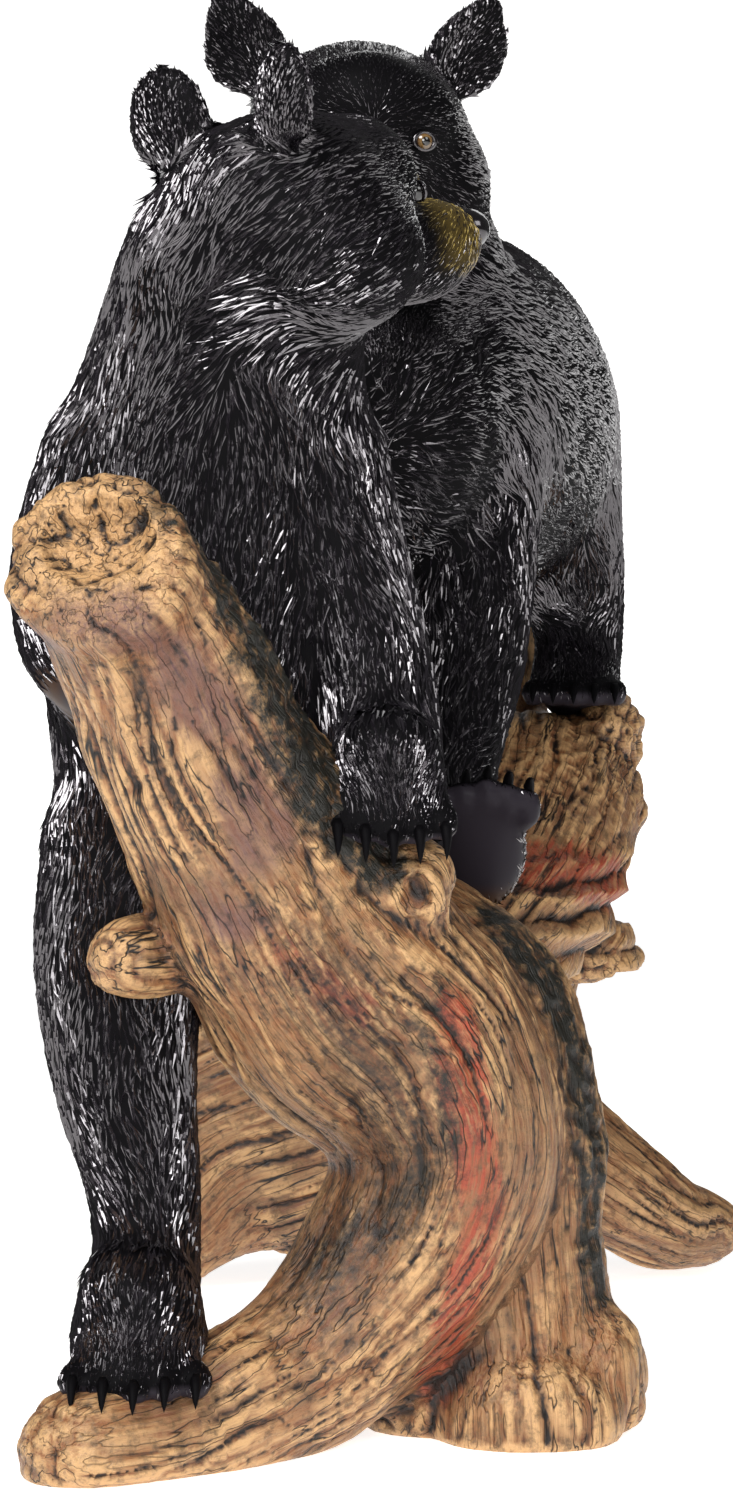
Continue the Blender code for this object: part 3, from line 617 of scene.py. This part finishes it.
climber = {
    "name": "climbing", "skull": np.array([-0.033, -0.146, 0.511]), "look": (45, 9), "size": 1.04,
    "ears": (-0.55, 0.66, 0.70), "ear_open": 12, "ear_lean": 8, "ear_tip": 0.0,
    "limbs": [
        (-1, [(-0.088, -0.128, 0.232, 0.048, 0.050), (-0.074, -0.118, 0.285, 0.064, 0.060),
              (-0.070, -0.112, 0.345, 0.071, 0.064), (-0.068, -0.112, 0.405, 0.069, 0.064),
              (-0.060, -0.122, 0.450, 0.062, 0.058), (-0.054, -0.136, 0.490, 0.054, 0.050)]),
        (1, [(-0.106, -0.125, 0.415, 0.035), (-0.124, -0.132, 0.370, 0.029),
             (-0.122, -0.150, 0.335, 0.026), (-0.108, -0.172, 0.318, 0.022)]),
        (1, [(-0.026, -0.122, 0.415, 0.037), (-0.010, -0.134, 0.365, 0.031),
             (0.004, -0.148, 0.318, 0.027), (0.009, -0.170, 0.285, 0.025)]),
        (1, [(-0.094, -0.135, 0.250, 0.046), (-0.104, -0.146, 0.200, 0.038),
             (-0.101, -0.152, 0.150, 0.032), (-0.092, -0.160, 0.100, 0.025), (-0.092, -0.168, 0.060, 0.025)]),
        (1, [(-0.066, -0.098, 0.240, 0.042), (-0.044, -0.080, 0.195, 0.034),
             (-0.018, -0.074, 0.155, 0.026), (0.000, -0.074, 0.128, 0.024)])],
    "lumps": [((-0.058, -0.150, 0.490), (0.046, 0.042, 0.042))],
    "paws": [((-0.102, -0.180, 0.312), (0.35, -0.75, -0.35), (0.0, 0.5, 1.0), 0.044, 0.050, 0.013),
             ((0.008, -0.187, 0.276), (0.08, -0.72, -0.60), (0.1, -0.6, 0.75), 0.054, 0.052, 0.015),
             ((-0.093, -0.193, 0.049), (0.02, -1, -0.22), (0, -0.2, 1), 0.060, 0.080, 0.019),
             ((0.006, -0.074, 0.116), (0.85, -0.25, -0.45), (0.2, 0.6, 0.5), 0.048, 0.060, 0.013)]}
stander = {
    "name": "standing", "skull": np.array([-0.004, 0.042, 0.574]), "look": (-84, -14), "size": 1.12,
    "ears": (-0.33, 0.89, 0.62), "ear_open": 30, "ear_lean": 24, "ear_tip": 0.45,
    "limbs": [
        (1, [(0.010, 0.040, 0.444, 0.058, 0.070), (0.017, 0.080, 0.456, 0.072, 0.088),
             (0.034, 0.135, 0.462, 0.078, 0.092), (0.049, 0.190, 0.462, 0.080, 0.092),
             (0.060, 0.240, 0.450, 0.076, 0.084), (0.066, 0.282, 0.428, 0.056, 0.060)]),
        (-1, [(0.016, 0.100, 0.490, 0.066, 0.064), (0.008, 0.072, 0.528, 0.058),
              (0.002, 0.056, 0.556, 0.052, 0.050)]),
        (1, [(0.046, 0.075, 0.430, 0.044), (0.050, 0.064, 0.380, 0.034), (0.048, 0.042, 0.330, 0.029),
             (0.038, 0.008, 0.280, 0.025), (0.042, -0.014, 0.248, 0.022)]),
        (1, [(-0.020, 0.070, 0.430, 0.040), (-0.029, 0.062, 0.370, 0.030), (-0.024, 0.046, 0.300, 0.025),
             (-0.012, 0.034, 0.236, 0.024)]),
        (1, [(0.088, 0.235, 0.430, 0.052), (0.104, 0.245, 0.392, 0.036), (0.114, 0.258, 0.355, 0.026),
             (0.113, 0.262, 0.325, 0.024)]),
        (1, [(0.034, 0.250, 0.425, 0.050), (0.028, 0.266, 0.380, 0.036), (0.030, 0.290, 0.340, 0.026),
             (0.032, 0.294, 0.315, 0.024)])],
    "lumps": [],
    "paws": [((0.051, -0.045, 0.244), (0.06, -0.58, 0.81), (0, 0.81, 0.58), 0.046, 0.072, 0.014),
             ((-0.008, 0.012, 0.224), (0.05, -1, -0.05), (0, 0, 1), 0.048, 0.066, 0.015),
             ((0.111, 0.240, 0.326), (-0.08, -1, -0.10), (0, -0.1, 1), 0.052, 0.070, 0.015),
             ((0.032, 0.270, 0.314), (0.05, -1, -0.15), (0, -0.1, 1), 0.050, 0.068, 0.015)]}

# The resin is painted black with a little purple in it and varnished, so its reflections are
# small and sharp; the muzzle is rubbed with gold brown.
black_paint, shader = new_material("glossy_black_painted_resin")
shader.inputs["Roughness"].default_value = 0.17
shader.inputs["Specular IOR Level"].default_value = 0.6
shader.inputs["Specular Tint"].default_value = linear("#fff0fa")
shader.inputs["Coat Weight"].default_value = 1.0
shader.inputs["Coat IOR"].default_value = 1.6
shader.inputs["Coat Roughness"].default_value = 0.1
coat = add_node(black_paint, "ShaderNodeAttribute", {"attribute_name": "coat"})
coat = add_node(black_paint, "ShaderNodeSeparateColor", {}, {0: coat.outputs["Color"]})
paint = add_node(black_paint, "ShaderNodeMix", {"data_type": "RGBA"}, {
    0: coat.outputs[1], 6: linear("#0b0a0c"), 7: linear("#1b181d")}).outputs[2]
add_node(black_paint, "ShaderNodeMix", {"data_type": "RGBA"}, {
    0: coat.outputs[0], 6: paint, 7: linear("#9a8548")}, {2: [shader.inputs["Base Color"]]})

# between the hairs, in the carver's grooves, the skin is painted a darker and duller black than the hairs: painted
# shade
dull_black_and_gap_shade, shader = new_material("dull_black_resin_and_gap_shade")
shader.inputs["Specular IOR Level"].default_value = 0.06
coat = add_node(dull_black_and_gap_shade, "ShaderNodeAttribute", {"attribute_name": "coat"})
coat = add_node(dull_black_and_gap_shade, "ShaderNodeSeparateColor", {}, {0: coat.outputs["Color"]})
# a near-black base for the painted shade between the hairs, then the muzzle's gold, the sole's purple grey and the
# heel's brown
paint = linear("#070608")
for channel, colour in ((0, "#6a582b"), (1, "#2b272d"), (2, "#3f2a1c")):
    paint = add_node(dull_black_and_gap_shade, "ShaderNodeMix", {"data_type": "RGBA"}, {
        0: coat.outputs[channel], 6: paint, 7: linear(colour)}).outputs[2]
dull_black_and_gap_shade.node_tree.links.new(paint, shader.inputs["Base Color"])
add_node(dull_black_and_gap_shade, "ShaderNodeMapRange", {}, {
    "Value": coat.outputs[1], "To Min": 0.62, "To Max": 0.38}, {0: [shader.inputs["Roughness"]]})


def strands(roots, normals, flow, sizes, bend, sway, sink=0.0002):
    """closed three-sided locks, widest at two fifths of the way, so they read as carved strokes:
    they follow the skin by half its curvature times the square of the way gone, sway to one side
    as the square of that way too, and the tip lifts a little"""
    length, width, tall, lift = (column[:, None] for column in sizes.T)
    left = np.cross(normals, flow)

    def at(share, aside, high):
        gone = share * length
        rise = high * tall + lift * share ** 2 - 0.5 * bend[:, None] * gone ** 2
        over = aside * width / 2 + sway[:, None] * length * share ** 2
        return roots + flow * gone + left * over + normals * (rise - sink)

    rows = [at(0, 0, 0), at(0.4, 1, -0.3), at(0.4, 0, 1), at(0.4, -1, -0.3), at(1, 0, 0)]
    start = np.arange(len(roots))[:, None, None] * 5
    tris = np.array([[0, 2, 1], [0, 3, 2], [0, 1, 3], [4, 1, 2], [4, 2, 3], [4, 3, 1]])
    return np.stack(rows, 1).reshape(-1, 3), [(start + tris).reshape(-1, 3)]


def scattered(verts, quads, count, spacing, seed):
    """spots spread by area over the skin, at most one in each cell of a lattice, with the skin's
    normal there and the triangle that carries it"""
    draw = np.random.default_rng(seed)
    tris = np.vstack([quads[:, [0, 1, 2]], quads[:, [0, 2, 3]]])
    a, b, c = verts[tris[:, 0]], verts[tris[:, 1]], verts[tris[:, 2]]
    area = np.linalg.norm(np.cross(b - a, c - a), axis=1)
    pick = np.searchsorted(np.cumsum(area) / area.sum(), draw.random(count))
    u, v = draw.random((2, count))
    u, v = np.where(u + v > 1, 1 - u, u), np.where(u + v > 1, 1 - v, v)
    spots = a[pick] + (b - a)[pick] * u[:, None] + (c - a)[pick] * v[:, None]
    cell = np.floor(spots / spacing(spots)[:, None]).astype(int)
    key = (cell[:, 0] * 4001 + cell[:, 1]) * 4001 + cell[:, 2]
    keep = np.unique(key, return_index=True)[1]
    normals = outward(verts, quads)
    corner = tris[pick[keep]]
    share = np.stack([1 - u - v, u, v], 1)[keep]
    mean = unit((normals[corner] * share[:, :, None]).sum(1))
    return spots[keep], mean, verts[corner], normals[corner]


def near_head(cub, spots):
    """steps forward, left and up of the skull centre, in skull radii"""
    return (spots - cub["skull"]) @ look_axes(cub["look"]).T / cub["size"] / SKULL_RADIUS


def regions(cub, spots):
    """shares from 0 to 1 of foot, face, ear, gold muzzle and bare skin at each spot"""
    feet = np.array([toe for foot in cub["paws"] for toe in toe_spots(*foot)] + [foot[0] for foot in cub["paws"]])
    gap = np.sqrt(((spots[:, None] - feet[None]) ** 2).sum(2))
    toe = 1 - eased(gap[:, :-len(cub["paws"])].min(1), 0.009, 0.014)
    gap = gap.min(1)
    f, l, u = near_head(cub, spots).T
    near = 1 - eased(np.sqrt((f - 1) ** 2 + l ** 2 + u ** 2), 1.35, 1.75)
    face = eased(f, 0.1, 0.9) * near
    ear = np.zeros(len(spots))
    for side in (-1, 1):
        opening, width, stem, middle = ear_place(cub, side)
        off = np.linalg.norm(spots - middle - stem * 0.004, axis=1) / cub["size"] / EAR_RADIUS
        ear = np.maximum(ear, 1 - eased(off, 0.95, 1.25))
    gold = near * eased(f, 1.3, 1.6) * (1 - eased(f, 2.0, 2.2)) * eased(u, -0.55, -0.40) * (1 - eased(u, 0.10, 0.28))
    bare = eased(f, 2.02, 2.06) * near * eased(u, -0.22, -0.14)
    for side in (-1, 1):
        eye = on_head(cub, SKULL_RADIUS * np.array([1.12, side * 0.43, 0.17]))
        bare = np.maximum(bare, 1 - eased(np.linalg.norm(spots - eye, axis=1), 0.0066, 0.0068))
    sole, heel = np.zeros((2, len(spots)))
    for centre, forward, up, width, length, thick in cub["paws"]:
        ahead, aside, over = ((spots - centre) @ paw_axes(forward, up).T).T
        under = (over < -0.25 * thick) & (np.abs(ahead) < length * 0.62) & (np.abs(aside) < width * 0.56)
        under = under & (over > -2 * thick)
        sole = np.maximum(sole, under)
        heel = np.maximum(heel, under * eased(-ahead / length, 0.12, 0.3))
    return 1 - eased(gap, 0.014, 0.034), face, ear, gold, np.maximum(bare, sole), sole, heel, toe


def hair_flow(cub, spots):
    """which way the hair lies: down the nearest limbs, away from the nose on the head, up the ears"""
    total = np.zeros_like(spots)
    weights = np.full((len(spots), 1), 1e-6)
    for sign, stations in cub["limbs"]:
        _, reach, along = in_grain(spots, limb_line(stations))
        weight = np.exp(-4 * np.clip(reach - 0.7, 0, 4))[:, None]
        total += sign * along * weight
        weights += weight
    flow = total / weights
    f, l, u = near_head(cub, spots).T
    on_skull = 1 - eased(np.sqrt((f - 0.3) ** 2 + l ** 2 + u ** 2), 1.15, 1.75)
    flow += 3 * unit(spots - on_head(cub, (MUZZLE_REACH, 0, 0))) * on_skull[:, None]
    for side in (-1, 1):
        opening, width, stem, middle = ear_place(cub, side)
        off = np.linalg.norm(spots - middle - stem * 0.004, axis=1) / cub["size"] / EAR_RADIUS
        flow += 12 * (stem + 0.5 * unit(spots - middle)) * (1 - eased(off, 0.9, 1.3))[:, None]
    for centre, forward, up, width, length, thick in cub["paws"]:
        near = np.exp(-((spots - centre) ** 2).sum(1) / (0.7 * length) ** 2)[:, None]
        flow += 2 * near * unit(np.array(forward, float))
    for centre, radius, strength in cub["whorls"]:
        gap = spots - np.array(centre)
        flow += unit(gap + (0, 0, -0.004)) * strength * np.exp(-(gap ** 2).sum(1) / radius ** 2)[:, None]
    return flow


def skin_bend(flow, corner, corner_normals):
    """curvature of the skin along the hair: the change of the corners' normals over the triangle,
    solved for a step of one along the flow"""
    e1, e2 = corner[:, 1] - corner[:, 0], corner[:, 2] - corner[:, 0]
    g11, g12, g22 = (e1 * e1).sum(1), (e1 * e2).sum(1), (e2 * e2).sum(1)
    f1, f2 = (flow * e1).sum(1), (flow * e2).sum(1)
    s1, s2 = np.array([g22 * f1 - g12 * f2, g11 * f2 - g12 * f1]) / (g11 * g22 - g12 ** 2)
    n1, n2 = (corner_normals[:, k] - corner_normals[:, 0] for k in (1, 2))
    return ((n1 * s1[:, None] + n2 * s2[:, None]) * flow).sum(1)


def soothed(verts, quads, rounds, weight):
    """each point drawn towards the mean of its neighbours, as far as its weight says"""
    ring = np.vstack([quads[:, [k, (k + 1) % 4]] for k in range(4)])
    ring = np.vstack([ring, ring[:, ::-1]])
    count = np.bincount(ring[:, 0], minlength=len(verts))[:, None]
    for _ in range(rounds):
        mean = np.stack([np.bincount(ring[:, 0], verts[ring[:, 1], i], len(verts)) for i in range(3)], 1)
        verts = verts + weight[:, None] * (mean / count - verts)
    return verts


def claws(cub):
    """a curved claw on each toe: six-sided rings that shrink along an arc, and a tip"""
    roots, forward, up = [], [], []
    for foot in cub["paws"]:
        axes = paw_axes(foot[1], foot[2])
        roots.append(toe_spots(*foot) + axes[0] * TOE_RADIUS * 1.1 + axes[2] * TOE_RADIUS * 0.5)
        forward.append(np.repeat(axes[:1], 5, 0))
        up.append(np.repeat(axes[2:], 5, 0))
    roots, forward, up = (np.vstack(rows)[:, None, None] for rows in (roots, forward, up))
    share = np.array([0, 0.3, 0.6, 0.85, 1])[:, None, None]
    girth = np.array([1, 0.95, 0.72, 0.42, 0.03])[:, None, None] * CLAW_WIDTH / 2
    turn = np.linspace(0, 2 * np.pi, 6, endpoint=False)[:, None]
    arc = forward * CLAW_LENGTH * share + up * CLAW_LENGTH * (0.30 * share - 0.85 * share ** 2)
    rings = roots + arc + np.cross(up, forward) * girth * np.cos(turn) + up * girth * 1.25 * np.sin(turn)
    step = np.arange(len(rings))[:, None, None] * 30
    row = np.arange(4)[:, None] * 6
    side = np.arange(6)
    quads = np.stack([row + side, row + (side + 1) % 6, row + 6 + (side + 1) % 6, row + 6 + side], -1)
    caps = np.array([[5, 4, 3, 2, 1, 0], [24, 25, 26, 27, 28, 29]])
    return rings.reshape(-1, 3), [(step + quads.reshape(-1, 4)).reshape(-1, 4), (step + caps).reshape(-1, 6)]


climber["hair_gap"], stander["hair_gap"] = 0.0028, 0.0029
climber["whorls"] = [((-0.058, -0.185, 0.440), 0.026, 1.6)]
stander["whorls"] = []
for cub in (climber, stander):
    parts = [limb([(*s[:3], *(r - 0.0012 for r in s[3:])) for s in stations]) for _, stations in cub["limbs"]]
    parts += [ball(*lump) for lump in cub["lumps"]] + head(cub)
    parts += [part for foot in cub["paws"] for part in paw(*foot)]
    verts, quads = kneaded("clay", gathered(parts), [
        ("REMESH", {"mode": "VOXEL", "voxel_size": SKIN_CELL}), ("SMOOTH", {"factor": 0.5, "iterations": 3})])
    foot, face, ear_share, gold, bare, sole, heel, toe = regions(cub, verts)
    verts = soothed(verts, quads, 26, 0.6 * (1 - ear_share) * (1 - toe))

    def spacing(spots, cub=cub):
        """hairs stand closer on the face, the ears and the paws"""
        foot, face, ear = regions(cub, spots)[:3]
        return cub["hair_gap"] * (1 - 0.28 * np.maximum(foot, ear) - 0.35 * face)

    spots, normals, corner, corner_normals = scattered(verts, quads, 260000, spacing, 5)
    foot, face, ear_share, gold, bare, sole, heel, toe = regions(cub, spots)
    draw = np.random.default_rng(8)
    keep = np.flatnonzero(bare < 0.5)
    spots, normals, corner, corner_normals = (rows[keep] for rows in (spots, normals, corner, corner_normals))
    foot, face, ear_share, gold, toe = (rows[keep] for rows in (foot, face, ear_share, gold, toe))
    flow = hair_flow(cub, spots)
    flow += 0.7 * np.stack([speckle(spots / 0.012, seed) - 0.5 for seed in (41, 42, 43)], 1)
    flow += 0.13 * draw.normal(size=flow.shape)
    flow = unit(flow - normals * (flow * normals).sum(1)[:, None])
    short = np.maximum.reduce([0.4 * foot, 0.5 * face, 0.62 * ear_share, 0.75 * toe])
    bend = np.clip(skin_bend(flow, corner, corner_normals), -80, 70 + 200 * ear_share)
    length = 0.0130 * (1 - short) * draw.uniform(0.7, 1.25, len(spots))
    width = (0.0019 - 0.0007 * np.maximum.reduce([foot, face, toe])) * draw.uniform(0.75, 1.2, len(spots))
    sizes = np.stack([length, width, width * draw.uniform(0.20, 0.55, len(spots)),
                      length * draw.uniform(-0.02, 0.035, len(spots)) * (1 - ear_share)], 1)
    sway = draw.normal(0, 0.10, len(spots))
    cub.update(verts=verts, quads=quads)
    order = np.argsort(spots[:, 2])
    for name, part in zip(("lower", "upper"), np.array_split(order, 2)):
        hair, faces = strands(spots[part], normals[part], flow[part], sizes[part], bend[part], sway[part])
        fur = new_piece("fur_%s_%s" % (cub["name"], name), hair - CLAY_MIDDLE, faces, black_paint, False)
        tone = draw.random(len(part))
        mesh_values(fur, "coat", *(np.repeat(row, 5) for row in (gold[part] * eased(tone, 0.15, 0.8), tone, 0 * tone)))
        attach(fur, "root")
    foot, face, ear_share, gold, bare, sole, heel, toe = regions(cub, verts)
    skin = new_piece("skin_" + cub["name"], verts - CLAY_MIDDLE, [quads], dull_black_and_gap_shade)
    mesh_values(skin, "coat", 0.4 * gold, sole, heel)
    skin = thinned(skin, 42000)
    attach(skin, "root")
    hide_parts("cub_" + cub["name"])

# the glassy eyes, black noses with nostrils, eyelids and claws of both cubs
amber_glass, shader = new_material("amber_glass_eye")
shader.inputs["Roughness"].default_value = 0.12
shader.inputs["Coat Weight"].default_value = 1.0
shader.inputs["Coat Roughness"].default_value = 0.03
gaze = add_node(amber_glass, "ShaderNodeAttribute", {"attribute_name": "gaze"})
iris = add_node(amber_glass, "ShaderNodeValToRGB", {}, {0: gaze.outputs["Fac"]}, {0: [shader.inputs["Base Color"]]})
ramp = iris.color_ramp
ramp.elements[0].position, ramp.elements[0].color = 0.48, linear("#0a0807")
ramp.elements[1].position, ramp.elements[1].color = 0.97, linear("#060403")
for place, colour in ((0.60, "#2a190c"), (0.66, "#5d4325"), (0.86, "#7c6039"), (0.91, "#160c06")):
    ramp.elements.new(place).color = linear(colour)
for cub in (climber, stander):
    forward, left, up = look_axes(cub["look"])
    black = [claws(cub)]
    centre = on_head(cub, (MUZZLE_REACH - SKULL_RADIUS * 0.17, 0, -SKULL_RADIUS * 0.16))
    verts, faces = ball(centre, cub["size"] * SKULL_RADIUS * np.array([0.20, 0.245, 0.19]), (forward, left, up))
    for side in (-1, 1):
        hole = centre + cub["size"] * SKULL_RADIUS * (0.17 * forward + side * 0.11 * left - 0.02 * up)
        gap = ((verts - hole) ** 2).sum(1)
        verts = verts - 0.0035 * np.exp(-gap / 0.0024 ** 2)[:, None] * forward
    black.append((verts, faces))
    for side, name in ((-1, "right"), (1, "left")):
        spot = on_head(cub, SKULL_RADIUS * np.array([1.10, side * 0.43, 0.17]))
        look = unit(forward + side * 0.25 * left + 0.12 * up)
        across = unit(np.cross(up, look))
        lid = np.linspace(0, 2 * np.pi, 20, endpoint=False)[:, None, None]
        tube = np.linspace(0, 2 * np.pi, 8, endpoint=False)[None, :, None]
        girth = EYE_RADIUS * (1.03 + 0.26 * np.cos(tube))
        ring = (spot + look * EYE_RADIUS * (0.42 + 0.22 * np.sin(tube)) + across * girth * 1.06 * np.cos(lid)
                + np.cross(look, across) * girth * 0.82 * np.sin(lid))
        i, j = np.arange(20)[:, None], np.arange(8)[None]
        turn = np.stack([i * 8 + j, (i + 1) % 20 * 8 + j, (i + 1) % 20 * 8 + (j + 1) % 8, i * 8 + (j + 1) % 8], -1)
        black.append((ring.reshape(-1, 3), [turn.reshape(-1, 4)]))
        verts, faces = ball(spot, (EYE_RADIUS,) * 3, (across, np.cross(look, across), look))
        eye = new_piece("eye_%s_%s" % (cub["name"], name), verts - CLAY_MIDDLE, faces, amber_glass)
        rows = (unit(verts - spot) * look).sum(1)
        eye.data.attributes.new("gaze", "FLOAT", "POINT").data.foreach_set("value", rows.astype(np.float32))
        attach(eye, "root")
        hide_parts("eye_%s_%s" % (cub["name"], name))
    for name, (verts, faces) in zip(("claws", "nose", "eyelid_right", "eyelid_left"), black):
        piece = new_piece("%s_%s" % (name, cub["name"]), verts - CLAY_MIDDLE, faces,
                          dull_black_and_gap_shade if name == "claws" else black_paint)
        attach(piece, "root")
